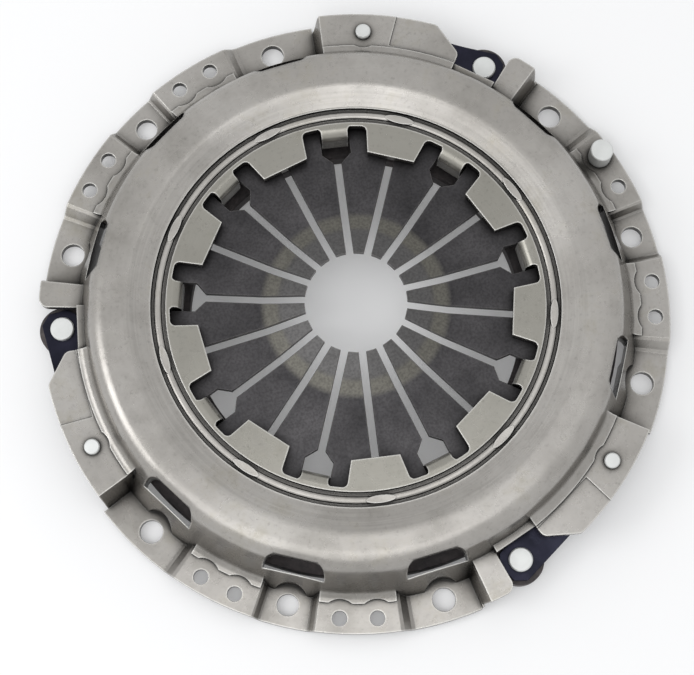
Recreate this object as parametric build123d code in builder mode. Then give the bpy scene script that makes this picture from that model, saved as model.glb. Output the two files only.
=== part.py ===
from build123d import *
from math import atan2, cos, degrees, radians, sin, sqrt, tan
import os

os.makedirs("parts", exist_ok=True)

# Clutch cover assembly, millimetres. The origin is the centre of the flange's
# seat on the flywheel, +Z points to the gearbox and +X runs through a dowel hole.
# The flange repeats every 120 degrees, the inner edge every 40 degrees and the
# diaphragm fingers every 20 degrees.

# ---- Driving dimensions: the cover ----
sheet = 3.2                     # thickness of the pressed steel cover
sector_count = 3                # repeats of the flange
tabs_per_sector = 3             # bent tabs, with a lobe between each pair
seam_angle = -13.5              # one sector runs from here to the next, through plain sheet
hub_face_z = 28.0               # top of the inner zone, where lobes and tabs start
shoulder_z = 30.9               # top of the outer annulus
lobe_edge_r = 57.3              # distance of a lobe's straight inner edge from the axis
lobe_half_angle = 8.75          # half angle of a lobe at its inner edge
lobe_root_angle = 10.0          # half angle of a lobe at its root
notch_r = 67.9                  # bottom of the notches beside each tab
notch_corner_r = 2.0
bead_r = 72.6                   # fulcrum bead, pressed down to bear on the spring
bead_half_width = 2.9
bead_depth = 1.5
bead_floor_half = 0.7
channel_in_r = 69.4             # channel in the upper face, over the bead
channel_out_r = 74.9
channel_depth = 1.15
channel_draft = 0.25
rib_r = 72.3                    # rounded rib along the middle of the channel
rib_half_width = 1.35
rib_drop = 0.35                 # rib's crest below the inner zone's face
rib_flat_length = 11.0          # lens shaped flats that widen the rib over each lobe
rib_flat_width = 2.9
rib_flat_rise = 0.1
slope_start_r = 75.6            # conical rise from the inner zone to the outer annulus
slope_end_r = 83.3
annulus_end_r = 92.5
slope_foot_round = 1.5
wall_foot_r = 104.3             # outside of the drafted wall at the balance pads
wall_draft = 18.5               # degrees from vertical

# ---- Driving dimensions: the flange ----
flange_r = 118.0
hole_circle_r = 110.0           # bolts and dowels
bolt_hole_r = 4.3
dowel_hole_r = 4.0
bolt_angle = 30.0               # each side of a dowel
balance_hole_r = 2.75
balance_circle_r = 112.5
balance_angles = (10.0, 17.0)
balance_pad_rise = 4.1          # balance pads stand above the bolt pads
dowel_pad_angle = 4.2
dowel_step_angle = 1.6
balance_pad_end = 21.0
bolt_step_angle = 2.6
bolt_pad_end = 36.0
foot_radius = 4.4               # concave root between the wall and the raised pads
foot_coin = 0.8                 # pads are struck this much below the end of that root
foot_pocket_r = 6.9             # socket clearance round each balance hole
pocket_r = 7.7                  # upright pocket in the wall round each bolt and dowel hole
pocket_top = 14.0
window_inner_r = 95.3           # window punched through the shoulder above each pocket
window_outer_r = 100.2
window_half_width = 11.3
window_corner_r = 4.5

# ---- Driving dimensions: tongue, lug gap and strap platform ----
tongue_start = 37.4
tongue_end = 42.3
tongue_top = 15.6
tongue_r = 117.6
tongue_corner_r = 3.5
tongue_corner_low = 1.2         # the tongue's corners are rounded down to here above the bolt pads
gap_end = 51.7                  # the drive lug comes out between tongue and platform
ledge_r = 102.6                 # straight edge of the narrow ledge over the drive lug
platform_top = 19.5
platform_end = 80.0
platform_step_angle = 1.3
platform_r = 116.0
platform_cut_r = 107.6          # the platform's cut corner starts here at its end
platform_cut_angle = 57.4       # and meets the outer edge here
platform_corner_r = 3.0
coin_angle = 58.7               # coined end of the platform, a rectangle square to this angle
coin_inner_r = 103.3
coin_side = 13.2
coin_depth = 0.4
rivet_seat_r = 6.4              # coined seat round each cover rivet

# ---- Driving dimensions: spring, ring and tabs ----
seat_gap = 0.15                 # play between the spring and each of its seats
spring_t = 2.3
spring_r = 92.0
finger_count = 18
tip_r = 18.7
tip_z = 29.5                    # top of the finger tips
cone_rise = 0.17                # rise per millimetre of the spring's rim, towards the axis
finger_knee_r = 58.0
finger_knee_z = 23.9
finger_bend_r = 33.8
finger_bend_z = 25.3
finger_crown_r = 28.2
finger_crown_z = 26.7
slot_width = 2.8
slot_end_r = 65.0
keyhole_r = 2.6
tab_window_half = 5.3
tab_window_in = 59.0
tab_window_out = 68.6
tab_window_taper_r = 53.5
tab_window_corner_r = 1.5
wire_r = 2.0
wire_split = 2.0                # opening of the split ring
wire_split_angle = 60.0
tab_width = 9.9
tab_t = 3.0
tab_bend_r = 4.0                # outside radius of the tab's bends
tab_face_r = 63.6               # inner face of the tab's upright part
tab_foot_r = 76.4               # end of the tab's foot under the wire ring

# ---- Driving dimensions: pressure plate ----
plate_r = 98.0
plate_bore_r = 62.0
plate_face_z = 1.0              # friction face above the flange's seat
plate_body_z = 9.0
plate_rim_z = 10.5
ridge_r = 89.0                  # ridge that carries the spring's rim
ridge_round = 1.6
ridge_half_width = 2.6
ridge_gap_width = 9.0
ear_angle = 46.1
ear_rivet_r = 109.2
ear_r = 8.9
ear_top_z = 7.8
ear_face_z = 2.0
ear_neck = 14.0                 # how far each drive lug reaches into the ring
plate_chamfer = 1.0

# ---- Driving dimensions: straps and rivets ----
leaf_count = 3
leaf_t = 0.8
strap_width = 14.0
strap_end = 7.0                 # from each rivet to the end of the strap
strap_flat = 9.0                # flat length past each rivet
strap_chamfer = 3.5
cover_rivet_angle = 71.5
cover_rivet_r = 108.6
cover_rivet_head_r = 2.85
cover_rivet_foot_r = 3.85
cover_rivet_head = 1.8
cover_rivet_shank_r = 2.4
lug_rivet_head_r = 4.4
lug_rivet_head = 1.8
lug_rivet_shank_r = 3.2
rivet_foot_head = 1.6
balance_rivet_r = 4.3
balance_rivet_head = 8.2
balance_rivet_angle = 17.0
rivet_edge = 0.4                # chamfer round each head

# ---- Places that follow from the sizes above ----
bolt_pad_top = sheet
balance_pad_top = sheet + balance_pad_rise
balance_under = balance_pad_top - sheet
balance_start = dowel_pad_angle + dowel_step_angle
bolt_pad_start = balance_pad_end + bolt_step_angle
wall_slope = tan(radians(wall_draft))
platform_under = platform_top - sheet
stack_t = leaf_count * leaf_t
lobe_count = sector_count * tabs_per_sector
tab_pitch = 360 / lobe_count
sector_pitch = 360 / sector_count
high = 60.0                     # clears the tallest point, for through cuts
spring_v = spring_t * sqrt(1 + cone_rise**2)      # spring thickness measured upright
pivot_top = hub_face_z - bead_depth - sheet - seat_gap
wire_z = pivot_top - spring_v - seat_gap - wire_r * sqrt(1 + cone_rise**2)
tab_foot_top = wire_z - wire_r - seat_gap
tab_low_z = tab_foot_top - tab_t
under_z = hub_face_z - sheet
hole_angles = (0, bolt_angle, sector_pitch - bolt_angle)
balance_spots = [turn for angle in balance_angles for turn in (angle, -angle, sector_pitch - angle)]


def polar(radius, angle):
    """Point at a radius and an angle in degrees."""
    return (radius * cos(radians(angle)), radius * sin(radians(angle)))


def wall_outer(z):
    """Outside radius of the drafted wall at a height."""
    return wall_foot_r + (balance_pad_top - z) * wall_slope


def annular_sector(r_in, r_out, start, end):
    """Flat annular sector between two angles."""
    with BuildSketch() as sector:
        with BuildLine():
            inner = CenterArc((0, 0), r_in, start, end - start)
            outer = CenterArc((0, 0), r_out, start, end - start)
            Line(inner @ 0, outer @ 0)
            Line(inner @ 1, outer @ 1)
        make_face()
    return sector.sketch


def ease(share):
    """Smooth step from 0 to 1."""
    return share * share * (3 - 2 * share)


def pad_root(top):
    """Inner radius of a pad, half way through the wall that carries it."""
    return wall_outer(top - sheet / 2) - sheet / 2


def add_pad(top, start, end, outer=flange_r):
    """Flat pad of the flange between two angles."""
    with BuildSketch(Plane.XY.offset(top - sheet)) as pad:
        add(annular_sector(pad_root(top), outer, start, end))
    extrude(pad.sketch, amount=sheet)


def add_step(top_start, top_end, start, end, outer=flange_r, slices=5):
    """Smooth step of the sheet between two pads, lofted through radial slices."""
    sections = []
    for index in range(slices):
        share = index / (slices - 1)
        angle = start + (end - start) * share
        top = top_start + (top_end - top_start) * ease(share)
        radial = Plane((0, 0, 0), x_dir=(*polar(1, angle), 0), z_dir=(*polar(1, angle - 90), 0))
        with BuildSketch(radial) as section:
            with Locations(((pad_root(top) + outer) / 2, top - sheet / 2)):
                Rectangle(outer - pad_root(top), sheet)
        sections.append(section.sketch.face())
    loft(sections, ruled=True)


def add_foot(top, start, end):
    """Concave root between the wall and a pad, ending in a small step down to the pad."""
    run = foot_radius * tan(radians((90 - wall_draft) / 2))
    toe_z = top + foot_coin
    toe_r = wall_outer(toe_z) + run
    rise_z = toe_z + run * cos(radians(wall_draft))
    with BuildSketch(Plane.XZ.rotated((0, 0, start))) as profile:
        with BuildLine():
            sunk = (wall_outer(top) - sheet / 2, top - sheet / 2)
            rise = Line((wall_outer(rise_z), rise_z), sunk)
            floor = Line(sunk, (toe_r, top - sheet / 2))
            toe = Line(floor @ 1, (toe_r, toe_z))
            TangentArc(toe @ 1, rise @ 0, tangent=(-1, 0))
        make_face()
    revolve(profile.sketch, axis=Axis.Z, revolution_arc=end - start)


def clear_under(ceiling, start, end):
    """Trim the lower edge of the wall to a height between two angles."""
    with BuildSketch(Plane.XY.offset(-1)) as band:
        add(annular_sector(annulus_end_r, flange_r, start, end))
    extrude(band.sketch, amount=ceiling + 1, mode=Mode.SUBTRACT)


# ---- Thick corner inside the wall that each bolt or dowel pocket is sunk into ----
with BuildPart() as pocket:
    pocket_reach = hole_circle_r - pocket_r - sheet
    with BuildSketch(Plane.XZ.rotated((0, 0, -15))):
        Polygon(
            (pocket_reach - 1, 0),
            (wall_outer(0) - sheet / 2, 0),
            (wall_outer(pocket_top) - sheet / 2, pocket_top),
            (pocket_reach - 1, pocket_top),
            align=None,
        )
    revolve(axis=Axis.Z, revolution_arc=30)
    with Locations((hole_circle_r, 0, 0)):
        Cylinder(pocket_r + sheet, 2 * high, mode=Mode.INTERSECT)


# ---- Tab bent down from the cover, through the spring and out under the wire ring ----
with BuildPart() as tab:
    with BuildSketch(Plane.XZ):
        with BuildLine():
            fold_start = (tab_face_r + tab_bend_r, hub_face_z)
            fold_end = (tab_face_r, hub_face_z - tab_bend_r)
            root = Line((channel_in_r - tab_bend_r / 10, hub_face_z), fold_start)
            fold = RadiusArc(fold_start, fold_end, -tab_bend_r)
            upright = Line(fold @ 1, (tab_face_r, tab_low_z + tab_bend_r))
            heel = RadiusArc(upright @ 1, (tab_face_r + tab_bend_r, tab_low_z), -tab_bend_r)
            foot = Line(heel @ 1, (tab_foot_r, tab_low_z))
            offset(amount=tab_t, side=Side.LEFT)
        make_face()
    extrude(amount=tab_width / 2 + notch_corner_r, both=True)
    # Its root flares into the bottom of the notches; the rest has straight sides.
    with BuildSketch() as root_outline:
        Rectangle(2 * tab_foot_r, tab_width)
        with Locations((notch_r, 0)):
            Rectangle(tab_foot_r, 2 * tab_width, align=(Align.MIN, Align.CENTER))
        root_corners = root_outline.vertices().filter_by(lambda v: abs(v.X - notch_r) < 0.01)
        fillet(root_corners.sort_by(Axis.Y)[1:-1], notch_corner_r)
    extrude(amount=high, mode=Mode.INTERSECT)
    with BuildSketch():
        Rectangle(3 * tab_foot_r, 3 * tab_width)
        Rectangle(3 * tab_foot_r, tab_width, mode=Mode.SUBTRACT)
    extrude(amount=under_z, mode=Mode.SUBTRACT)


# ---- One sector of the cover: dished shell, flange pads, windows, holes and tabs ----
with BuildPart() as cover_sector:
    # Dished shell, turned about the axis, with a bead under it and a ribbed channel over the bead.
    shell_foot_z = sheet / 2
    with BuildSketch(Plane.XZ.rotated((0, 0, seam_angle))) as shell_profile:
        with BuildLine():
            Polyline(
                (lobe_edge_r - 2, hub_face_z),
                (slope_start_r, hub_face_z),
                (slope_end_r, shoulder_z),
                (wall_outer(shoulder_z), shoulder_z),
                (wall_outer(shell_foot_z), shell_foot_z),
            )
            offset(amount=sheet, kind=Kind.INTERSECTION, side=Side.RIGHT)
        make_face()
        corners = shell_profile.vertices()
        fillet(corners.sort_by_distance((slope_start_r, hub_face_z))[0], slope_foot_round)
        Polygon(
            (bead_r - bead_half_width, under_z + sheet / 4),
            (bead_r - bead_half_width, under_z),
            (bead_r - bead_floor_half, under_z - bead_depth),
            (bead_r + bead_floor_half, under_z - bead_depth),
            (bead_r + bead_half_width, under_z),
            (bead_r + bead_half_width, under_z + sheet / 4),
            align=None,
        )
        channel_z = hub_face_z - channel_depth
        Polygon(
            (channel_in_r, hub_face_z),
            (channel_in_r + channel_draft, channel_z),
            (channel_out_r - channel_draft, channel_z),
            (channel_out_r, hub_face_z),
            (channel_out_r, hub_face_z + 1),
            (channel_in_r, hub_face_z + 1),
            align=None,
            mode=Mode.SUBTRACT,
        )
        rib_z = hub_face_z - rib_drop
        rib_height = rib_z - channel_z
        Polygon(
            (rib_r - rib_half_width, channel_z - rib_height),
            (rib_r - rib_half_width, channel_z + 0.15 * rib_height),
            (rib_r - 0.8 * rib_half_width, channel_z + 0.65 * rib_height),
            (rib_r - 0.35 * rib_half_width, rib_z),
            (rib_r + 0.35 * rib_half_width, rib_z),
            (rib_r + 0.8 * rib_half_width, channel_z + 0.65 * rib_height),
            (rib_r + rib_half_width, channel_z + 0.15 * rib_height),
            (rib_r + rib_half_width, channel_z - rib_height),
            align=None,
        )
    revolve(axis=Axis.Z, revolution_arc=sector_pitch)

    # Inner edge: straight lobes with a notch at each side of each tab.
    lobe_edge_half = lobe_edge_r * tan(radians(lobe_half_angle))
    lobe_root = polar(notch_r + sheet, lobe_root_angle)
    with BuildSketch() as inner_opening:
        Circle(notch_r)
        with PolarLocations(0, lobe_count, start_angle=tab_pitch / 2):
            Polygon(
                (lobe_edge_r, -lobe_edge_half),
                (lobe_root[0], -lobe_root[1]),
                lobe_root,
                (lobe_edge_r, lobe_edge_half),
                align=None,
                mode=Mode.SUBTRACT,
            )
        notch_corners = inner_opening.vertices().filter_by(lambda v: abs(v.center().length - notch_r) < 0.1)
        fillet(notch_corners, notch_corner_r)
    extrude(amount=high, mode=Mode.SUBTRACT)

    # Lower edge of the wall, open under the balance pads and over the drive lug.
    first_clear = (dowel_pad_angle + balance_start) / 2
    last_clear = balance_pad_end + bolt_step_angle / 2
    clear_under(balance_under, first_clear, last_clear)
    clear_under(balance_under, 2 * seam_angle, -first_clear)
    clear_under(balance_under, sector_pitch - last_clear, sector_pitch)
    clear_under(tongue_top - sheet, tongue_start + 1, tongue_end)
    clear_under(platform_under, tongue_end, platform_end + platform_step_angle / 2)

    # Pads at their four levels.
    add_pad(bolt_pad_top, -dowel_pad_angle, dowel_pad_angle)
    add_pad(balance_pad_top, balance_start, balance_pad_end)
    add_pad(balance_pad_top, seam_angle, -balance_start)
    add_pad(balance_pad_top, sector_pitch - balance_pad_end, sector_pitch + seam_angle)
    add_pad(bolt_pad_top, bolt_pad_start, bolt_pad_end)
    add_pad(bolt_pad_top, platform_end + platform_step_angle, sector_pitch - bolt_pad_start)
    add_pad(tongue_top, tongue_start, tongue_end, tongue_r)

    # Steps between the levels.
    add_step(bolt_pad_top, balance_pad_top, dowel_pad_angle, balance_start)
    add_step(balance_pad_top, bolt_pad_top, balance_pad_end, bolt_pad_start)
    add_step(bolt_pad_top, tongue_top, bolt_pad_end, tongue_start, tongue_r)
    add_step(platform_top, bolt_pad_top, platform_end, platform_end + platform_step_angle, platform_r)
    add_step(bolt_pad_top, balance_pad_top, sector_pitch - bolt_pad_start, sector_pitch - balance_pad_end)
    add_step(balance_pad_top, bolt_pad_top, -balance_start, -dowel_pad_angle)

    # Strap platform with a cut corner, and the ledge that joins it to the tongue.
    cut_low = polar(platform_cut_r, gap_end)
    cut_high = polar(platform_r, platform_cut_angle)
    with BuildSketch(Plane.XY.offset(platform_under)) as platform:
        add(annular_sector(pad_root(platform_top), platform_r, gap_end, platform_end))
        Polygon(cut_low, cut_high, polar(platform_r + 20, gap_end - 3), align=None, mode=Mode.SUBTRACT)
        near_cut = lambda v: min((v.center() - Vector(*end)).length for end in (cut_low, cut_high)) < 0.1
        fillet(platform.vertices().filter_by(near_cut), platform_corner_r)
    extrude(amount=sheet)
    ledge_half = (gap_end - tongue_end) / 2
    ledge_angle = (gap_end + tongue_end) / 2
    with BuildSketch(Plane.XY.offset(platform_under)) as ledge:
        with Locations(Location((0, 0, 0), (0, 0, ledge_angle))):
            Polygon(
                polar(pad_root(platform_top), -ledge_half),
                (ledge_r, -ledge_r * tan(radians(ledge_half))),
                (ledge_r, ledge_r * tan(radians(ledge_half))),
                polar(pad_root(platform_top), ledge_half),
                align=None,
            )
    extrude(amount=sheet)

    # Concave roots of the raised pads, and the coined end and rivet seat of the platform.
    add_foot(balance_pad_top, balance_start, balance_pad_end)
    add_foot(balance_pad_top, seam_angle, -balance_start)
    add_foot(balance_pad_top, sector_pitch - balance_pad_end, sector_pitch + seam_angle)
    add_foot(platform_top, gap_end, platform_end)
    with BuildSketch(Plane.XY.offset(platform_top - coin_depth)):
        with Locations(Location((0, 0, 0), (0, 0, coin_angle))):
            with Locations((coin_inner_r, coin_side)):
                Rectangle(2 * coin_side, 3 * coin_side, align=(Align.MIN, Align.MAX))
    extrude(amount=foot_radius, mode=Mode.SUBTRACT)
    with BuildSketch(Plane.XY.offset(platform_top)):
        with Locations(polar(cover_rivet_r, cover_rivet_angle)):
            Circle(rivet_seat_r)
    extrude(amount=foot_radius, mode=Mode.SUBTRACT)

    # Rounded corners of the tongue.
    with BuildSketch(Plane.XY.offset(bolt_pad_top + tongue_corner_low)) as tongue_trim:
        add(annular_sector(tongue_r - 2 * tongue_corner_r, flange_r + 1, bolt_pad_end - 1, tongue_end + 1))
        with BuildSketch(mode=Mode.PRIVATE) as tongue_outline:
            add(annular_sector(tongue_r - 3 * tongue_corner_r, tongue_r, bolt_pad_end, tongue_end))
            outer_corners = tongue_outline.vertices().filter_by(lambda v: v.center().length > tongue_r - 1)
            fillet(outer_corners, tongue_corner_r)
        add(tongue_outline.sketch, mode=Mode.SUBTRACT)
    extrude(amount=tongue_top, mode=Mode.SUBTRACT)

    # Pockets round the bolts and dowels, and windows through the shoulder above them.
    for angle in hole_angles:
        with PolarLocations(0, 1, start_angle=angle):
            add(pocket.part)
    with BuildSketch(Plane.XY.offset(bolt_pad_top)):
        for angle in hole_angles:
            with Locations(polar(hole_circle_r, angle)):
                Circle(pocket_r)
    extrude(amount=shoulder_z, mode=Mode.SUBTRACT)
    with BuildSketch() as window:
        with Locations((window_inner_r, 0)):
            Rectangle(
                window_outer_r - window_inner_r, 2 * window_half_width, align=(Align.MIN, Align.CENTER)
            )
        fillet(window.vertices().group_by(Axis.X)[0], window_corner_r)
    with BuildSketch() as windows:
        for angle in hole_angles:
            with Locations(Location((0, 0, 0), (0, 0, angle))):
                add(window.sketch)
    extrude(windows.sketch, amount=high, mode=Mode.SUBTRACT)
    with BuildSketch(Plane.XY.offset(balance_pad_top)):
        for angle in balance_spots:
            with Locations(polar(balance_circle_r, angle)):
                Circle(foot_pocket_r)
    extrude(amount=foot_radius, mode=Mode.SUBTRACT)

    # Holes through the pads.
    with BuildSketch(Plane.XY.offset(-1)):
        with Locations(polar(hole_circle_r, 0)):
            Circle(dowel_hole_r)
        for angle in hole_angles[1:]:
            with Locations(polar(hole_circle_r, angle)):
                Circle(bolt_hole_r)
        for angle in balance_spots:
            with Locations(polar(balance_circle_r, angle)):
                Circle(balance_hole_r)
        with Locations(polar(cover_rivet_r, cover_rivet_angle)):
            Circle(cover_rivet_shank_r)
    extrude(amount=high, mode=Mode.SUBTRACT)

    # Lens shaped flats on the rib, over each lobe.
    with BuildSketch(Plane.XY.offset(channel_z - rib_height)):
        with PolarLocations(rib_r, lobe_count, start_angle=tab_pitch / 2):
            Ellipse(rib_flat_width / 2, rib_flat_length / 2)
    extrude(amount=2 * rib_height + rib_flat_rise)

    # Tabs.
    for index in range(tabs_per_sector):
        with PolarLocations(0, 1, start_angle=tab_pitch * index):
            add(tab.part)


# ---- Cover: the sectors joined into one pressing ----
with BuildPart() as cover:
    with PolarLocations(0, sector_count):
        add(cover_sector.part)

cover.part.label = "cover"
export_step(cover.part, "parts/cover.step")


# ---- Diaphragm spring: one cone of spring steel slit into fingers ----
def cone_top(radius):
    """Top of the spring's rim at a radius."""
    return pivot_top - (radius - bead_r) * cone_rise


with BuildPart() as diaphragm_spring:
    with BuildSketch(Plane.XZ):
        with BuildLine():
            Polyline(
                (tip_r, tip_z),
                (finger_crown_r, finger_crown_z),
                (finger_bend_r, finger_bend_z),
                (finger_knee_r, finger_knee_z),
                (bead_r, pivot_top),
                (spring_r, cone_top(spring_r)),
            )
            offset(amount=spring_t, kind=Kind.INTERSECTION, side=Side.RIGHT)
        make_face()
    revolve(axis=Axis.Z)
    finger_pitch = 360 / finger_count
    with BuildSketch(Plane.XY) as slits:
        with PolarLocations(0, finger_count):
            Rectangle(slot_end_r, slot_width, align=(Align.MIN, Align.CENTER))
        with PolarLocations(slot_end_r, lobe_count, start_angle=tab_pitch / 2):
            Circle(keyhole_r)
        with PolarLocations(0, lobe_count):
            Polygon(
                (tab_window_taper_r, 0),
                (tab_window_in, -tab_window_half),
                (tab_window_out, -tab_window_half),
                (tab_window_out, tab_window_half),
                (tab_window_in, tab_window_half),
                align=None,
            )
        window_corners = slits.vertices().filter_by(lambda v: v.center().length > tab_window_out)
        fillet(window_corners, tab_window_corner_r)
    extrude(amount=high, mode=Mode.SUBTRACT)
diaphragm_spring.part.label = "diaphragm_spring"
export_step(diaphragm_spring.part, "parts/diaphragm_spring.step")


# ---- Pivot ring: split ring of round wire between the spring and the tabs ----
with BuildPart() as pivot_wire_ring:
    with BuildSketch(Plane.XZ.rotated((0, 0, wire_split_angle))):
        with Locations((bead_r, wire_z)):
            Circle(wire_r)
    revolve(axis=Axis.Z, revolution_arc=360 - degrees(wire_split / bead_r))
pivot_wire_ring.part.label = "pivot_wire_ring"
export_step(pivot_wire_ring.part, "parts/pivot_wire_ring.step")


# ---- Pressure plate: cast ring with a broken ridge and three drive lugs ----
ridge_centre_z = (
    cone_top(ridge_r) - spring_v - (ridge_round + seat_gap) * sqrt(1 + cone_rise**2)
)
with BuildPart() as pressure_plate:
    with BuildSketch(Plane.XZ) as plate_profile:
        with BuildLine():
            crest_in = (ridge_r - ridge_round, ridge_centre_z)
            crest_out = (ridge_r + ridge_round, ridge_centre_z)
            Polyline(
                crest_in,
                (ridge_r - ridge_half_width, plate_body_z),
                (plate_bore_r, plate_body_z),
                (plate_bore_r, plate_face_z),
                (plate_r, plate_face_z),
                (plate_r, plate_rim_z),
                (ridge_r + ridge_half_width, plate_rim_z),
                crest_out,
            )
            RadiusArc(crest_in, crest_out, ridge_round)
        make_face()
    revolve(axis=Axis.Z)
    with BuildSketch(Plane.XY.offset(plate_rim_z)):
        with PolarLocations(ridge_r, lobe_count, start_angle=tab_pitch / 2):
            Rectangle(4 * ridge_half_width, ridge_gap_width)
    extrude(amount=high, mode=Mode.SUBTRACT)
    with BuildSketch(Plane.XY.offset(ear_face_z)) as ears:
        with PolarLocations(ear_rivet_r, sector_count, start_angle=ear_angle):
            Circle(ear_r)
            with Locations((-ear_neck, 0)):
                Rectangle(2 * ear_neck, 2 * ear_r)
    extrude(amount=ear_top_z - ear_face_z)
    with BuildSketch(Plane.XY):
        with PolarLocations(ear_rivet_r, sector_count, start_angle=ear_angle):
            Circle(lug_rivet_shank_r)
    extrude(amount=high, mode=Mode.SUBTRACT)
    bore_edges = pressure_plate.edges().filter_by(GeomType.CIRCLE)
    chamfer(bore_edges.filter_by(lambda e: abs(e.radius - plate_bore_r) < 0.1), plate_chamfer)
pressure_plate.part.label = "pressure_plate"
export_step(pressure_plate.part, "parts/pressure_plate.step")


# ---- Drive straps: three spring leaves at each drive lug ----
lug_point = polar(ear_rivet_r, ear_angle)
cover_point = polar(cover_rivet_r, cover_rivet_angle)
strap_dx = cover_point[0] - lug_point[0]
strap_dy = cover_point[1] - lug_point[1]
strap_pitch = sqrt(strap_dx**2 + strap_dy**2)
strap_heading = degrees(atan2(strap_dy, strap_dx))
leaf_names = ("bottom", "middle", "top")
leaf_step = stack_t / leaf_count
cover_stack_z = platform_under - stack_t


def leaf_line(shift):
    """Side view of a leaf's lower face: flat, a double bend and flat again."""
    low = ear_top_z + shift
    high_end = cover_stack_z + shift
    bend_start = (strap_flat, low)
    bend_end = (strap_pitch - strap_flat, high_end)
    middle = (strap_pitch / 2, (low + high_end) / 2)
    return low, high_end, bend_start, bend_end, middle


for sector in range(sector_count):
    turn = sector * sector_pitch
    heading = strap_heading + turn
    root_xy = polar(ear_rivet_r, ear_angle + turn)
    side_plane = Plane((*root_xy, 0), x_dir=(*polar(1, heading), 0), z_dir=(*polar(1, heading - 90), 0))
    top_plane = Plane((*root_xy, 0), x_dir=(*polar(1, heading), 0))
    for index, leaf_name in enumerate(leaf_names):
        with BuildPart() as leaf:
            with BuildSketch(side_plane):
                with BuildLine():
                    for shift in (index * leaf_step, (index + 1) * leaf_step):
                        low, high_end, bend_start, bend_end, middle = leaf_line(shift)
                        Line((-strap_end, low), bend_start)
                        TangentArc(bend_start, middle, tangent=(1, 0))
                        TangentArc(bend_end, middle, tangent=(-1, 0))
                        Line(bend_end, (strap_pitch + strap_end, high_end))
                    for end_x, stack_z in ((-strap_end, ear_top_z), (strap_pitch + strap_end, cover_stack_z)):
                        leaf_z = stack_z + index * leaf_step
                        Line((end_x, leaf_z), (end_x, leaf_z + leaf_step))
                make_face()
            extrude(amount=strap_width / 2, both=True)
            ends = leaf.edges().filter_by(Axis.Z).filter_by(lambda e: e.length < 2 * leaf_step)
            chamfer(ends, strap_chamfer)
            with BuildSketch(top_plane):
                Circle(lug_rivet_shank_r)
                with Locations((strap_pitch, 0)):
                    Circle(cover_rivet_shank_r)
            extrude(amount=high, mode=Mode.SUBTRACT)
        leaf.part.label = f"drive_strap_{sector + 1}_{leaf_name}"
        export_step(leaf.part, f"parts/{leaf.part.label}.step")


# ---- Rivets ----
def turned_rivet(shank_r, head_r, low_head_r, levels):
    """Rivet turned about Z, from its lower head up: four levels of its faces."""
    foot, under, over, crown = levels
    with BuildPart() as rivet:
        with Locations((0, 0, foot)):
            Cylinder(low_head_r, under - foot, align=(Align.CENTER, Align.CENTER, Align.MIN))
        with Locations((0, 0, under)):
            Cylinder(shank_r, over - under, align=(Align.CENTER, Align.CENTER, Align.MIN))
        with Locations((0, 0, over)):
            Cylinder(head_r, crown - over, align=(Align.CENTER, Align.CENTER, Align.MIN))
        rims = rivet.edges().filter_by(GeomType.CIRCLE)
        chamfer(rims.group_by(Axis.Z)[0] + rims.group_by(Axis.Z)[-1], rivet_edge)
    return rivet.part


lug_stack_top = ear_top_z + stack_t
lug_rivet_levels = (
    ear_face_z - rivet_foot_head / 2,
    ear_face_z,
    lug_stack_top,
    lug_stack_top + lug_rivet_head,
)
cover_rivet_levels = (
    cover_stack_z - rivet_foot_head,
    cover_stack_z,
    platform_top,
    platform_top + cover_rivet_head,
)
for sector in range(sector_count):
    turn = sector * sector_pitch
    with BuildPart() as lug_rivet:
        with Locations((*polar(ear_rivet_r, ear_angle + turn), 0)):
            add(turned_rivet(lug_rivet_shank_r, lug_rivet_head_r, lug_rivet_head_r, lug_rivet_levels))
    lug_rivet.part.label = f"lug_rivet_{sector + 1}"
    export_step(lug_rivet.part, f"parts/{lug_rivet.part.label}.step")
    with BuildPart() as cover_rivet:
        with Locations((*polar(cover_rivet_r, cover_rivet_angle + turn), 0)):
            shape = (cover_rivet_shank_r, cover_rivet_head_r, cover_rivet_foot_r)
            add(turned_rivet(*shape, cover_rivet_levels))
    cover_rivet.part.label = f"cover_rivet_{sector + 1}"
    export_step(cover_rivet.part, f"parts/{cover_rivet.part.label}.step")

balance_levels = (
    balance_under - rivet_foot_head,
    balance_under,
    balance_pad_top,
    balance_pad_top + balance_rivet_head,
)
with BuildPart() as balance_rivet:
    with Locations((*polar(balance_circle_r, balance_rivet_angle), 0)):
        add(turned_rivet(balance_hole_r, balance_rivet_r, balance_rivet_r, balance_levels))
balance_rivet.part.label = "balance_rivet"
export_step(balance_rivet.part, "parts/balance_rivet.step")
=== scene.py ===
from math import asin, cos, degrees, hypot, radians, sin, sqrt, tan

import bmesh
import bpy
from mathutils import Matrix, Vector
from mathutils.bvhtree import BVHTree
from mathutils.interpolate import poly_3d_calc


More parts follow.
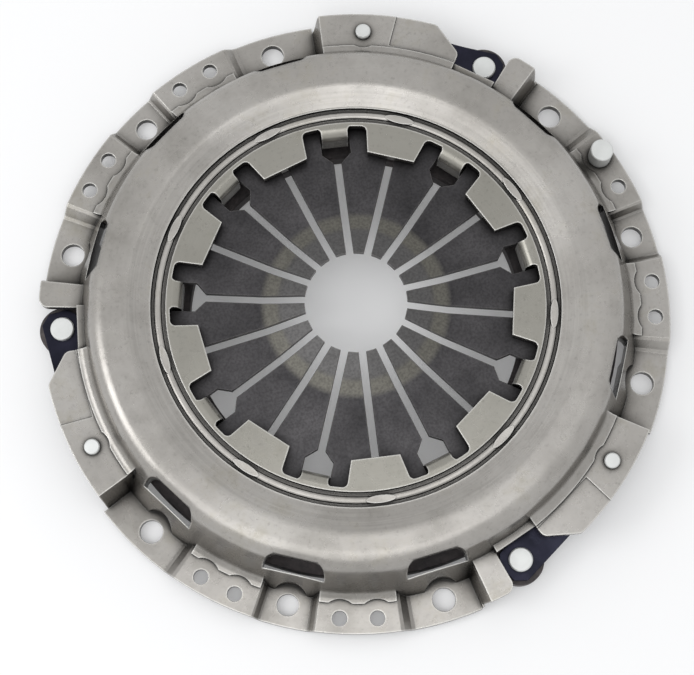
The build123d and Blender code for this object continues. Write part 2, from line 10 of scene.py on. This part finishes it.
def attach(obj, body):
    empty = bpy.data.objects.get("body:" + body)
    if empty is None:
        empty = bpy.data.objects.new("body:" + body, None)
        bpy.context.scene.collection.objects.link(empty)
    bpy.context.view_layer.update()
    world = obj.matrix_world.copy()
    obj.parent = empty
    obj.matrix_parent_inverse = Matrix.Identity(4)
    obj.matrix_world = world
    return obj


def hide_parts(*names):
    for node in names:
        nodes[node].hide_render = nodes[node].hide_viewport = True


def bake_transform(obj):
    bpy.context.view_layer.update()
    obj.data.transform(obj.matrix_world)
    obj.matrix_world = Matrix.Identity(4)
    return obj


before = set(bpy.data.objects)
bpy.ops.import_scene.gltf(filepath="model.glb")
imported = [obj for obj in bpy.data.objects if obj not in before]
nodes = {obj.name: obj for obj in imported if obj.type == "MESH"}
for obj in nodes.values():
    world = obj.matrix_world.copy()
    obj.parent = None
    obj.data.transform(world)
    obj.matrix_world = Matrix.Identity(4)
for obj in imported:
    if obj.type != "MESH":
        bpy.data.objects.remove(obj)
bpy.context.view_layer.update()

# The part's frame: metres, origin at the centre of the flange's seat, +Z to the
# gearbox, +X through a dowel hole. Sizes below are written in millimetres.
MM = 0.001

# ---- Sizes that the pieces here share with the CAD part ----
BEAD_R = 72.6
SPRING_T = 2.3
SPRING_R = 92.0
TIP_R = 18.7
TIP_BEND_R = 28.2
DISH_R = 33.8
PIVOT_TOP = 23.15
CONE_RISE = 0.17
FINGER_PROFILE = (
    (TIP_R, 29.5),
    (TIP_BEND_R, 26.7),
    (DISH_R, 25.3),
    (58.0, 23.9),
    (BEAD_R, PIVOT_TOP),
)
FINGER_COUNT = 18
SLOT_HALF = 1.4
KEYHOLE_R = 2.6
KEYHOLE_NECK = 2.2              # from the keyhole's centre to where the slit meets it
SLOT_END_R = 65.0
WINDOW_HALF = 5.3
WINDOW_IN = 59.0
WINDOW_OUT = 68.6
WINDOW_CORNER = 1.5
WINDOW_TAPER_R = 55.1
SECTORS = 3
LEAF_T = 0.8
LEAF_PLAY = 0.02                # left free on each face of a leaf
LEAF_EDGE = 0.2
LEAF_NAMES = ("bottom", "middle", "top")
EAR_TOP_Z = 7.8
COVER_STACK_Z = 13.9
LUG_R = 109.2
LUG_ANGLE = 46.1
COVER_RIVET_R = 108.6
COVER_RIVET_ANGLE = 71.5
STRAP_FLAT = 9.0
STRAP_END = 7.0
STRAP_HALF = 7.0
STRAP_CHAMFER = 3.5
STRAP_STEPS = 26

# ---- Shoulder between the cover's annulus and its wall, rolled over here ----
SHOULDER_CORNER_R = 96.404
SHOULDER_Z = 30.9
WALL_DRAFT = 18.5               # degrees from vertical
SHOULDER_R = 7.0
SHOULDER_BITE = 0.01            # the roll cuts in this much, so that it meets the faces cleanly
ROLL_POINTS = 13
CUT_PAST_WALL = 2.0             # how far the cutting ring reaches past the wall's face,
CUT_PAST_CORNER = 6.0           # past the corner's radius
CUT_PAST_TOP = 3.0              # and past the annulus
WELD = 0.002                    # joins the CAD mesh's doubled vertices
SAME_FACE = 0.004               # a face no further than this from the CAD mesh is one of its own
CROWN_ROLL = 5.0                # the material alone softens both edges of the annulus this far

# ---- Mesh settings ----
SHARP_ANGLE = 38                # degrees
SPRING_EDGE = 0.22              # softened edge of a finger
RIM_EDGE = 0.05                 # and of the spring's rim
END_STEP = 0.01                 # keeps a strap's end face flat

# ---- Stage ----
FLOOR_SIZE = 8.0                # metres
FLOOR_DROP = 0.0002             # metres, so that the seat doesn't lie in the floor's plane
FLOOR_GLOW = 0.17
WORLD_LIGHT = 0.70


def polar(radius, angle, z=0.0):
    """Point in metres from a radius, an angle in degrees and a height, in millimetres."""
    return Vector((radius * cos(radians(angle)), radius * sin(radians(angle)), z)) * MM


def spread(low, high, count):
    """Evenly spaced values from low to high, both included."""
    return [low + (high - low) * i / (count - 1) for i in range(count)]


def add_object(name, data):
    """New object in the scene."""
    made = bpy.data.objects.new(name, data)
    bpy.context.scene.collection.objects.link(made)
    return made


# ---- Materials ----
class Graph:
    """A small helper to write a shader's node graph."""

    def __init__(self, name):
        self.material = bpy.data.materials.new(name)
        self.material.use_nodes = True
        self.tree = self.material.node_tree
        self.shader = self.tree.nodes["Principled BSDF"]
        self.position = self.node("ShaderNodeNewGeometry").outputs["Position"]

    def node(self, kind, **settings):
        made = self.tree.nodes.new(kind)
        for key, value in settings.items():
            setattr(made, key, value)
        return made

    def link(self, source, target):
        self.tree.links.new(source, target)

    def noise(self, scale, detail=4.0, rough=0.55, stretch=(1, 1, 1)):
        """Noise in the part's own frame; scale is per metre."""
        mapping = self.node("ShaderNodeMapping")
        mapping.inputs["Scale"].default_value = stretch
        self.link(self.position, mapping.inputs["Vector"])
        texture = self.node("ShaderNodeTexNoise")
        texture.inputs["Scale"].default_value = scale
        texture.inputs["Detail"].default_value = detail
        texture.inputs["Roughness"].default_value = rough
        self.link(mapping.outputs["Vector"], texture.inputs["Vector"])
        return texture.outputs["Fac"]

    def ramp(self, source, stops):
        """Colour or value ramp; stops are (place, colour or grey)."""
        ramp = self.node("ShaderNodeValToRGB")
        elements = ramp.color_ramp.elements
        while len(elements) < len(stops):
            elements.new(0.5)
        for element, (place, colour) in zip(elements, stops):
            element.position = place
            rgb = colour if isinstance(colour, tuple) else (colour,) * 3
            element.color = (*rgb, 1)
        self.link(source, ramp.inputs["Fac"])
        return ramp.outputs["Color"]

    def mix(self, factor, a, b, blend="MIX"):
        """Mix two colours; each may be a socket or a tuple."""
        mixer = self.node("ShaderNodeMix", data_type="RGBA", blend_type=blend)
        sockets = (mixer.inputs[0], mixer.inputs[6], mixer.inputs[7])
        for value, socket in zip((factor, a, b), sockets):
            if isinstance(value, bpy.types.NodeSocket):
                self.link(value, socket)
            elif isinstance(value, tuple):
                socket.default_value = (*value, 1)
            else:
                socket.default_value = value
        return mixer.outputs[2]

    def math(self, operation, a, b=0.0):
        """A math node over sockets or plain numbers."""
        maths = self.node("ShaderNodeMath", operation=operation)
        for value, socket in ((a, maths.inputs[0]), (b, maths.inputs[1])):
            if isinstance(value, bpy.types.NodeSocket):
                self.link(value, socket)
            else:
                socket.default_value = value
        return maths.outputs[0]

    def radius(self):
        """Distance from the part's axis, in millimetres."""
        flat = self.node("ShaderNodeVectorMath", operation="MULTIPLY")
        flat.inputs[1].default_value = (1000, 1000, 0)
        self.link(self.position, flat.inputs[0])
        length = self.node("ShaderNodeVectorMath", operation="LENGTH")
        self.link(flat.outputs["Vector"], length.inputs[0])
        return length.outputs["Value"]

    def upward(self, normal):
        """How far a normal leans along the part's axis: 0 on a wall, 1 on a level face."""
        split = self.node("ShaderNodeSeparateXYZ")
        self.link(normal, split.inputs[0])
        return self.math("ABSOLUTE", split.outputs["Z"])

    def rounded(self, reach, samples=6):
        """Normal over edges rolled over to a reach in millimetres."""
        bevel = self.node("ShaderNodeBevel", samples=samples)
        bevel.inputs["Radius"].default_value = reach * MM
        return bevel.outputs["Normal"]

    def swirl(self, pitch):
        """Noise drawn out round the axis, as brushing leaves it; pitch is lines per millimetre."""
        place = self.node("ShaderNodeCombineXYZ")
        self.link(self.math("MULTIPLY", self.radius(), pitch), place.inputs["X"])
        flat = self.node("ShaderNodeSeparateXYZ")
        self.link(self.position, flat.inputs[0])
        self.link(self.math("MULTIPLY", flat.outputs["X"], 25.0), place.inputs["Y"])
        self.link(self.math("MULTIPLY", flat.outputs["Y"], 25.0), place.inputs["Z"])
        texture = self.node("ShaderNodeTexNoise")
        texture.inputs["Scale"].default_value = 1.0
        texture.inputs["Detail"].default_value = 3.0
        self.link(place.outputs["Vector"], texture.inputs["Vector"])
        return texture.outputs["Fac"]

    def edge_highlight(self, colour, bright, reach, amount, keep_off=0.0):
        """Paint a highlight along sharp edges, except where keep_off is 1; reach is in millimetres.
        """
        facing = self.node("ShaderNodeVectorMath", operation="DOT_PRODUCT")
        self.link(self.rounded(reach), facing.inputs[0])
        self.link(self.node("ShaderNodeNewGeometry").outputs["Normal"], facing.inputs[1])
        edge = self.ramp(facing.outputs["Value"], ((0.80, amount), (0.985, 0.0)))
        share = self.math("MULTIPLY", edge, self.math("SUBTRACT", 1.0, keep_off))
        return self.mix(share, colour, bright)

    def bump(self, height, strength, distance, normal=None):
        """Surface relief over a normal; distance is in millimetres."""
        bump = self.node("ShaderNodeBump")
        bump.inputs["Strength"].default_value = strength
        bump.inputs["Distance"].default_value = distance * MM
        self.link(height, bump.inputs["Height"])
        if normal:
            self.link(normal, bump.inputs["Normal"])
        self.link(bump.outputs["Normal"], self.shader.inputs["Normal"])

    def occlusion(self, distance):
        """How open a point is: 0 in a deep corner, 1 in the open."""
        node = self.node("ShaderNodeAmbientOcclusion", samples=8)
        node.inputs["Distance"].default_value = distance * MM
        return node.outputs["AO"]


def pressed_steel():
    g = Graph("pressed_steel")
    cloud = g.noise(24, detail=7, rough=0.68)
    dull, middling, clean = (0.245, 0.234, 0.215), (0.345, 0.331, 0.311), (0.44, 0.426, 0.405)
    colour = g.ramp(cloud, ((0.30, dull), (0.5, middling), (0.72, clean)))
    stain = g.ramp(g.noise(48, detail=6, rough=0.75), ((0.53, 0.0), (0.68, 1.0)))
    colour = g.mix(g.math("MULTIPLY", stain, 0.5), colour, (0.24, 0.22, 0.17))
    place = g.math("DIVIDE", g.radius(), 100.0)
    rim = g.ramp(place, ((0.688, 1.0), (0.70, 0.0)))
    colour = g.mix(g.math("MULTIPLY", rim, 0.75), colour, (0.25, 0.243, 0.212))
    # Painted shade in the grooves either side of the bead, and a painted highlight on the bead
    # between them
    inner_groove_shade = ((0.694, 1.0), (0.699, 0.5), (0.708, 0.5))
    bead_highlight = ((0.714, 1.2), (0.730, 1.2))
    outer_groove_shade = ((0.737, 0.5), (0.747, 0.6), (0.753, 1.0))
    colour = g.mix(0.9, colour, g.ramp(place, inner_groove_shade + bead_highlight + outer_groove_shade), "MULTIPLY")
    slope = g.ramp(place, ((0.752, 0.0), (0.768, 1.0), (0.822, 1.0), (0.85, 0.0)))
    brushed = g.ramp(g.swirl(1.6), ((0.30, 0.72), (0.70, 1.12)))
    brushing = g.math("ADD", g.math("MULTIPLY", slope, 0.35), 0.10)
    colour = g.mix(brushing, colour, brushed, "MULTIPLY")
    speck = g.ramp(g.noise(700, detail=4, rough=0.7), ((0.30, 0.55), (0.44, 1.0)))
    colour = g.mix(0.45, colour, speck, "MULTIPLY")
    crown = g.ramp(place, ((0.780, 0.0), (0.800, 1.0), (0.960, 1.0), (1.0, 0.0)))
    normal = g.mix(crown, g.rounded(0.45), g.rounded(CROWN_ROLL, samples=16))
    # Painted shade: steep walls are darkened, in place of the dark surroundings they reflect
    steep_wall_shade = g.ramp(g.upward(normal), ((0.12, (0.28, 0.257, 0.233)), (0.55, (1.0, 1.0, 1.0))))
    colour = g.mix(0.9, colour, steep_wall_shade, "MULTIPLY")
    # Painted highlight along the sharp edges, left off the softened annulus
    colour = g.edge_highlight(colour, (0.80, 0.79, 0.76), 1.1, 0.8, keep_off=crown)
    # Painted shade in corners, roots and creases at three reaches, darkest where a point is least
    # open
    corners = ((2.2, 0.02, 0.55, 0.93), (6.0, 0.06, 0.50, 0.95), (18.0, 0.25, 0.28, 0.80))
    for reach, dark, closed, opened in corners:
        corner_shade = (dark, 0.93 * dark, 0.85 * dark)
        corner = g.ramp(g.occlusion(reach), ((closed, corner_shade), (opened, (1.0, 1.0, 1.0))))
        colour = g.mix(0.9, colour, corner, "MULTIPLY")
    g.link(colour, g.shader.inputs["Base Color"])
    g.shader.inputs["Metallic"].default_value = 0.7
    g.link(g.ramp(g.noise(70, detail=6), ((0.3, 0.20), (0.75, 0.34))), g.shader.inputs["Roughness"])
    grain = g.math("ADD", g.noise(1500, detail=3), g.math("MULTIPLY", g.noise(130, detail=6), 2.2))
    g.bump(g.math("ADD", grain, g.math("MULTIPLY", g.swirl(2.2), 0.4)), 0.22, 0.05, normal)
    return g.material


def spring_steel():
    g = Graph("spring_steel")
    cloud = g.noise(45, detail=5, rough=0.6)
    dark = g.ramp(cloud, ((0.3, (0.024, 0.023, 0.025)), (0.72, (0.066, 0.063, 0.066))))
    straw = (0.125, 0.120, 0.103)
    grey = (0.086, 0.084, 0.084)
    place = g.math("DIVIDE", g.radius(), 100.0)
    band = g.ramp(place, ((0.265, 0.0), (0.290, 1.0), (0.330, 1.0), (0.352, 0.0)))
    inside = g.ramp(place, ((0.270, 1.0), (0.295, 0.0)))
    colour = g.mix(g.math("MULTIPLY", band, 0.8), dark, straw)
    colour = g.mix(inside, colour, grey)
    fleck = g.ramp(g.noise(1100, detail=3), ((0.35, 0.55), (0.6, 1.25)))
    colour = g.mix(0.5, colour, fleck, "MULTIPLY")
    # Painted highlight along the fingers' sharp edges
    colour = g.edge_highlight(colour, (0.30, 0.29, 0.28), 0.45, 0.7)
    # Painted shade in corners and under overlaps, darkest where a point is least open
    colour = g.mix(0.9, colour, g.ramp(g.occlusion(8.0), ((0.3, 0.10), (0.85, 1.0))), "MULTIPLY")
    g.link(colour, g.shader.inputs["Base Color"])
    g.shader.inputs["Metallic"].default_value = 0.75
    g.link(g.ramp(g.noise(120, detail=5), ((0.3, 0.34), (0.7, 0.48))), g.shader.inputs["Roughness"])
    g.bump(g.noise(1800, detail=3), 0.22, 0.04)
    return g.material


def cast_iron():
    g = Graph("cast_iron")
    cloud = g.noise(90, detail=7, rough=0.75)
    pit, skin, peak = (0.028, 0.025, 0.027), (0.085, 0.074, 0.074), (0.19, 0.172, 0.162)
    colour = g.ramp(cloud, ((0.34, pit), (0.56, skin), (0.72, peak)))
    g.link(colour, g.shader.inputs["Base Color"])
    g.shader.inputs["Metallic"].default_value = 0.4
    g.link(g.ramp(cloud, ((0.3, 0.50), (0.7, 0.72))), g.shader.inputs["Roughness"])
    g.bump(g.noise(900, detail=5, rough=0.7), 0.8, 0.3, g.rounded(0.5))
    return g.material


def plain_metal(name, low, high, metallic, rough, scale=120):
    """Metal of one finish: drawn wire, blued strip or plated rivets."""
    g = Graph(name)
    cloud = g.noise(scale, detail=5)
    # Painted shade in corners, darkest where a point is least open
    corner = g.ramp(g.occlusion(2.5), ((0.3, 0.2), (0.8, 1.0)))
    colour = g.mix(0.75, g.ramp(cloud, ((0.3, low), (0.7, high))), corner, "MULTIPLY")
    g.link(colour, g.shader.inputs["Base Color"])
    g.shader.inputs["Metallic"].default_value = metallic
    roughness = g.ramp(g.noise(3 * scale), ((0.3, rough - 0.06), (0.7, rough + 0.06)))
    g.link(roughness, g.shader.inputs["Roughness"])
    g.bump(g.noise(1600, detail=3), 0.2, 0.04, g.rounded(0.25))
    return g.material


STEEL = pressed_steel()
SPRING = spring_steel()
IRON = cast_iron()
WIRE = plain_metal("drawn_wire", (0.20, 0.20, 0.20), (0.32, 0.32, 0.32), 0.8, 0.35)
BLUED = plain_metal("blued_strip", (0.007, 0.008, 0.014), (0.018, 0.018, 0.032), 0.85, 0.30)
PLATED = plain_metal("plated_rivet", (0.60, 0.61, 0.60), (0.72, 0.735, 0.725), 0.45, 0.42)


def dress(node, material):
    """Give a CAD node its material."""
    mesh = nodes[node].data
    mesh.materials.clear()
    mesh.materials.append(material)


dress("pressure_plate", IRON)
dress("pivot_wire_ring", WIRE)
dress("balance_rivet", PLATED)
for number in range(1, SECTORS + 1):
    dress(f"cover_rivet_{number}", PLATED)
    dress(f"lug_rivet_{number}", PLATED)


# ---- Mesh helpers ----
def bridge(bm, row, following):
    """Faces between two rings of vertices with equal counts."""
    for i in range(len(row)):
        j = (i + 1) % len(row)
        bm.faces.new((row[i], row[j], following[j], following[i]))


def finished(bm, name):
    """Mesh from a bmesh, which is freed."""
    mesh = bpy.data.meshes.new(name)
    bm.to_mesh(mesh)
    bm.free()
    return mesh


def loft(name, rings, material):
    """Closed skin over a row of rings with equal point counts, capped at both ends."""
    bm = bmesh.new()
    rows = [[bm.verts.new(point) for point in ring] for ring in rings]
    for row, following in zip(rows, rows[1:]):
        bridge(bm, row, following)
    for cap in (rows[0], rows[-1]):
        bm.faces.new(cap)
    bmesh.ops.recalc_face_normals(bm, faces=bm.faces)
    piece = add_object(name, finished(bm, name))
    mesh = piece.data
    mesh.materials.append(material)
    for polygon in mesh.polygons:
        polygon.use_smooth = True
    mesh.set_sharp_from_angle(angle=radians(SHARP_ANGLE))
    return piece


# ---- Cover: the CAD shape with its shoulder rolled over ----
def turned(name, profile, steps=360):
    """Closed ring turned about the axis from a profile of (radius, height) in millimetres."""
    bm = bmesh.new()
    rows = []
    for step in range(steps):
        rows.append([bm.verts.new(polar(radius, 360 * step / steps, z)) for radius, z in profile])
    for row, following in zip(rows, rows[1:] + rows[:1]):
        bridge(bm, row, following)
    bmesh.ops.recalc_face_normals(bm, faces=bm.faces)
    return add_object(name, finished(bm, name))


ROLL_TURN = radians(90 - WALL_DRAFT)
ROLL_CENTRE_R = SHOULDER_CORNER_R - SHOULDER_R * tan(ROLL_TURN / 2) + SHOULDER_BITE
ROLL_CENTRE_Z = SHOULDER_Z - SHOULDER_R + SHOULDER_BITE


def shoulder_profile():
    """Outline of the metal that the roll takes off the shoulder's sharp corner."""
    arc = [
        (ROLL_CENTRE_R + SHOULDER_R * sin(a), ROLL_CENTRE_Z + SHOULDER_R * cos(a))
        for a in spread(0.0, ROLL_TURN, ROLL_POINTS)
    ]
    end_r, end_z = arc[-1]
    draft = radians(WALL_DRAFT)
    top = SHOULDER_Z + CUT_PAST_TOP
    outside = (end_r + CUT_PAST_WALL * cos(draft), end_z + CUT_PAST_WALL * sin(draft))
    return arc + [outside, (SHOULDER_CORNER_R + CUT_PAST_CORNER, top), (ROLL_CENTRE_R, top)]


def roll_normal(point):
    """Outward direction of the rolled shoulder at a point on it."""
    across = hypot(point.x, point.y)
    out = across / MM - ROLL_CENTRE_R
    up = point.z / MM - ROLL_CENTRE_Z
    return Vector((point.x / across * out, point.y / across * out, up)).normalized()


def keep_cad_normals(mesh, cad):
    """Shade as the CAD mesh does where its faces were kept, and as a true roll elsewhere."""
    places = [vertex.co for vertex in cad.vertices]
    tree = BVHTree.FromPolygons(places, [tuple(polygon.vertices) for polygon in cad.polygons])
    corners = [corner.vector for corner in cad.corner_normals]
    normals = [Vector((0, 0, 1))] * len(mesh.loops)
    for polygon in mesh.polygons:
        _, _, found, distance = tree.find_nearest(polygon.center)
        kept = cad.polygons[found]
        outline = [places[i] for i in kept.vertices]
        for loop in polygon.loop_indices:
            point = mesh.vertices[mesh.loops[loop].vertex_index].co
            if distance > SAME_FACE * MM:
                normals[loop] = roll_normal(point)
                continue
            shares = poly_3d_calc(outline, point)
            parts = zip(shares, kept.loop_indices)
            normals[loop] = sum((share * corners[i] for share, i in parts), Vector()).normalized()
    mesh.normals_split_custom_set(normals)


def rolled_cover():
    """The cover's piece: a copy of the CAD cover with its shoulder's corner turned away."""
    bm = bmesh.new()
    bm.from_mesh(nodes["cover"].data)
    bmesh.ops.remove_doubles(bm, verts=bm.verts, dist=WELD * MM)
    blank = add_object("cover_blank", finished(bm, "cover_blank"))
    tool = turned("shoulder_tool", shoulder_profile())
    cut = blank.modifiers.new("roll", "BOOLEAN")
    cut.operation = "DIFFERENCE"
    cut.solver = "EXACT"
    cut.object = tool
    view = bpy.context.evaluated_depsgraph_get()
    mesh = bpy.data.meshes.new_from_object(blank.evaluated_get(view))
    mesh.name = "cover_shell"
    for spent in (blank, tool):
        bpy.data.objects.remove(spent)
    mesh.materials.clear()
    mesh.materials.append(STEEL)
    for polygon in mesh.polygons:
        polygon.use_smooth = True
        polygon.material_index = 0
    keep_cad_normals(mesh, nodes["cover"].data)
    return add_object("cover_shell", mesh)


cover_shell = rolled_cover()
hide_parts("cover")
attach(cover_shell, "cover")


# ---- Diaphragm spring: fingers inside the pivot ring, rim outside it ----
def finger_top(radius):
    """Height of the spring's top face at a radius, on a finger or on the rim."""
    for (r0, z0), (r1, z1) in zip(FINGER_PROFILE, FINGER_PROFILE[1:]):
        if radius <= r1:
            return z0 + (z1 - z0) * (radius - r0) / (r1 - r0)
    return PIVOT_TOP - (radius - BEAD_R) * CONE_RISE


def slot_half(radius, at_tab):
    """Half width of the slit beside a finger; at_tab says which kind of slit it is."""
    if not at_tab:
        if radius < SLOT_END_R - KEYHOLE_NECK:
            return SLOT_HALF
        return sqrt(max(0.0, KEYHOLE_R**2 - (radius - SLOT_END_R) ** 2))
    if radius < WINDOW_TAPER_R:
        return SLOT_HALF
    if radius < WINDOW_IN:
        share = (radius - WINDOW_TAPER_R) / (WINDOW_IN - WINDOW_TAPER_R)
        return SLOT_HALF + (WINDOW_HALF - SLOT_HALF) * share
    corner_r = WINDOW_OUT - WINDOW_CORNER
    if radius < corner_r:
        return WINDOW_HALF
    if radius < WINDOW_OUT:
        rise = sqrt(max(0.0, WINDOW_CORNER**2 - (radius - corner_r) ** 2))
        return WINDOW_HALF - WINDOW_CORNER + rise
    return 0.0


def section(radius, left, right, round_edge, across=7):
    """Ring of points round the spring's section at a radius, between two angles in degrees."""
    top = finger_top(radius)
    under = top - SPRING_T
    soften = degrees(round_edge / radius)
    points = [polar(radius, left, under + round_edge), polar(radius, left, top - round_edge)]
    points += [polar(radius, a, top) for a in spread(left + soften, right - soften, across)]
    points += [polar(radius, right, top - round_edge), polar(radius, right, under + round_edge)]
    points += [polar(radius, a, under) for a in spread(right - soften, left + soften, across)]
    return points


# Rows along a finger, closer together where the slit's outline turns
FINGER_ROWS = (
    spread(TIP_R, TIP_BEND_R, 8)
    + spread(TIP_BEND_R, DISH_R, 5)[1:]
    + spread(DISH_R, 53.5, 9)[1:]
    + [WINDOW_TAPER_R, 56.4, 57.7, WINDOW_IN, 60.5, 62.0, 62.8, 63.4, 64.2]
    + [SLOT_END_R, 65.8, 66.6, 67.1, 67.4, 67.6]
    + [67.9, 68.2, 68.4, 68.55, WINDOW_OUT, 70.5, BEAD_R]
)
half_pitch = 180 / FINGER_COUNT
for finger in range(FINGER_COUNT):
    middle = (2 * finger + 1) * half_pitch
    tab_on_right = finger % 2 == 0
    rings = []
    for radius in FINGER_ROWS:
        right = middle - half_pitch + degrees(asin(slot_half(radius, tab_on_right) / radius))
        left = middle + half_pitch - degrees(asin(slot_half(radius, not tab_on_right) / radius))
        rings.append(section(radius, right, left, SPRING_EDGE))
    piece = loft(f"finger_{finger + 1}", rings, SPRING)
    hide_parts("diaphragm_spring")
    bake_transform(piece)
    rim_rings = [
        section(radius, middle - half_pitch, middle + half_pitch, RIM_EDGE)
        for radius in spread(BEAD_R, SPRING_R, 6)
    ]
    rim = loft(f"spring_rim_{finger + 1}", rim_rings, SPRING)
    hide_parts("diaphragm_spring")
    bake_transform(rim)


# ---- Drive straps ----
def leaf_height(along, pitch):
    """How far a leaf has climbed at a place along it: 0 at the lug's end, 1 at the cover's."""
    if along <= STRAP_FLAT:
        return 0.0
    if along >= pitch - STRAP_FLAT:
        return 1.0
    share = (along - STRAP_FLAT) / (pitch - 2 * STRAP_FLAT)
    return share * share * (3 - 2 * share)


for sector in range(SECTORS):
    turn = 120 * sector
    lug = polar(LUG_R, LUG_ANGLE + turn)
    anchor = polar(COVER_RIVET_R, COVER_RIVET_ANGLE + turn)
    along = (anchor - lug).normalized()
    side = Vector((-along.y, along.x, 0))
    pitch = (anchor - lug).length / MM
    far_end = pitch + STRAP_END
    stations = [-STRAP_END, -STRAP_END + END_STEP]
    stations += spread(-STRAP_END + STRAP_CHAMFER, far_end - STRAP_CHAMFER, STRAP_STEPS)
    stations += [far_end - END_STEP, far_end]
    for leaf, leaf_name in enumerate(LEAF_NAMES):
        rings = []
        for station in stations:
            end_gap = min(station + STRAP_END, far_end - station)
            half = STRAP_HALF - max(0.0, STRAP_CHAMFER - end_gap)
            climb = (COVER_STACK_Z - EAR_TOP_Z) * leaf_height(station, pitch)
            low = EAR_TOP_Z + climb + leaf * LEAF_T + LEAF_PLAY
            high = low + LEAF_T - 2 * LEAF_PLAY
            inner = half - LEAF_EDGE
            outline = (
                (-half, low),
                (-half, high),
                (-inner, high),
                (inner, high),
                (half, high),
                (half, low),
            )
            centre = lug + along * station * MM
            rings.append(
                [centre + side * offset * MM + Vector((0, 0, z * MM)) for offset, z in outline]
            )
        node = f"drive_strap_{sector + 1}_{leaf_name}"
        strap = loft(f"strap_{sector + 1}_{leaf_name}", rings, BLUED)
        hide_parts(node)
        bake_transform(strap)


# ---- Floor, world, lights and camera ----
def background_rays(tree):
    """1 for the rays that look at the background: the camera's, reflected and refracted ones."""
    rays = tree.nodes.new("ShaderNodeLightPath")
    seen = rays.outputs["Is Camera Ray"]
    for kind in ("Is Glossy Ray", "Is Transmission Ray"):
        either = tree.nodes.new("ShaderNodeMath")
        either.operation = "MAXIMUM"
        tree.links.new(seen, either.inputs[0])
        tree.links.new(rays.outputs[kind], either.inputs[1])
        seen = either.outputs[0]
    return seen


def pale_floor():
    """Pale floor that stays white for the camera and keeps the object's soft shadow."""
    bpy.ops.mesh.primitive_plane_add(size=FLOOR_SIZE, location=(0, 0, -FLOOR_DROP))
    floor = bpy.context.object
    floor.name = "floor"
    material = bpy.data.materials.new("pale_floor")
    material.use_nodes = True
    tree = material.node_tree
    shader = tree.nodes["Principled BSDF"]
    shader.inputs["Base Color"].default_value = (0.97, 0.97, 0.975, 1)
    shader.inputs["Roughness"].default_value = 0.7
    glow = tree.nodes.new("ShaderNodeEmission")
    glow.inputs["Color"].default_value = (1, 1, 1, 1)
    glow.inputs["Strength"].default_value = 1.0
    seen = background_rays(tree)
    share = tree.nodes.new("ShaderNodeMath")
    share.operation = "MULTIPLY"
    share.inputs[1].default_value = FLOOR_GLOW
    tree.links.new(seen, share.inputs[0])
    mix = tree.nodes.new("ShaderNodeMixShader")
    tree.links.new(share.outputs[0], mix.inputs[0])
    tree.links.new(shader.outputs[0], mix.inputs[1])
    tree.links.new(glow.outputs[0], mix.inputs[2])
    tree.links.new(mix.outputs[0], tree.nodes["Material Output"].inputs["Surface"])
    floor.data.materials.append(material)


def studio_world():
    """White background for the camera and in reflections, soft grey light otherwise."""
    world = bpy.data.worlds.new("studio")
    bpy.context.scene.world = world
    world.use_nodes = True
    tree = world.node_tree
    light = tree.nodes["Background"]
    light.inputs["Color"].default_value = (0.98, 0.99, 1.0, 1)
    light.inputs["Strength"].default_value = WORLD_LIGHT
    white = tree.nodes.new("ShaderNodeBackground")
    white.inputs["Color"].default_value = (1, 1, 1, 1)
    white.inputs["Strength"].default_value = 1.0
    mix = tree.nodes.new("ShaderNodeMixShader")
    tree.links.new(background_rays(tree), mix.inputs[0])
    tree.links.new(light.outputs[0], mix.inputs[1])
    tree.links.new(white.outputs[0], mix.inputs[2])
    tree.links.new(mix.outputs[0], tree.nodes["World Output"].inputs["Surface"])


def soft_light(name, place, size, power):
    """Square area light aimed at the part."""
    lamp = bpy.data.lights.new(name, "AREA")
    lamp.size = size
    lamp.energy = power
    holder = add_object(name, lamp)
    holder.location = place
    holder.rotation_euler = (-Vector(place)).to_track_quat("-Z", "Y").to_euler()


# The photograph's camera: tilted off the axis towards the lower side of the picture.
PICTURE_TURN = -17.0            # the part's +X against the picture's right, degrees
CAMERA_TILT = -13.11
CAMERA_PAN = 0.20
CAMERA_SHIFT = Vector((3.2, 7.0, 0.0)) * MM
CAMERA_DISTANCE = 709.6 * MM
PAD_TOP = 3.2 * MM
FOCAL_PIXELS = 1883.0
PICTURE_WIDTH = 694.0
SENSOR = 36.0


def photo_camera():
    tilt = Matrix.Rotation(radians(CAMERA_TILT), 3, "X")
    look = tilt @ Matrix.Rotation(radians(CAMERA_PAN), 3, "Y")
    look.transpose()
    eye = look @ (Vector((0, 0, CAMERA_DISTANCE)) - CAMERA_SHIFT)
    turn = Matrix.Rotation(radians(PICTURE_TURN), 3, "Z")
    placed = (turn @ look).to_4x4()
    placed.translation = turn @ eye + Vector((0, 0, PAD_TOP))
    lens = bpy.data.cameras.new("camera")
    lens.sensor_width = SENSOR
    lens.lens = FOCAL_PIXELS / PICTURE_WIDTH * SENSOR
    lens.clip_start = 0.01
    camera = add_object("camera", lens)
    camera.matrix_world = placed
    bpy.context.scene.camera = camera


def from_picture(x, y, z):
    """Place given by the picture's directions: x right, y up, z towards the viewer."""
    return Matrix.Rotation(radians(PICTURE_TURN), 3, "Z") @ Vector((x, y, z))


pale_floor()
studio_world()
photo_camera()
soft_light("key", from_picture(0.05, -0.07, 1.1), 0.34, 0.6)
soft_light("fill_low", from_picture(-0.20, -0.44, 1.05), 0.75, 2.3)
soft_light("rim_left", from_picture(-1.0, -0.15, 0.95), 0.65, 4.2)
bpy.context.scene.view_settings.view_transform = "Standard"
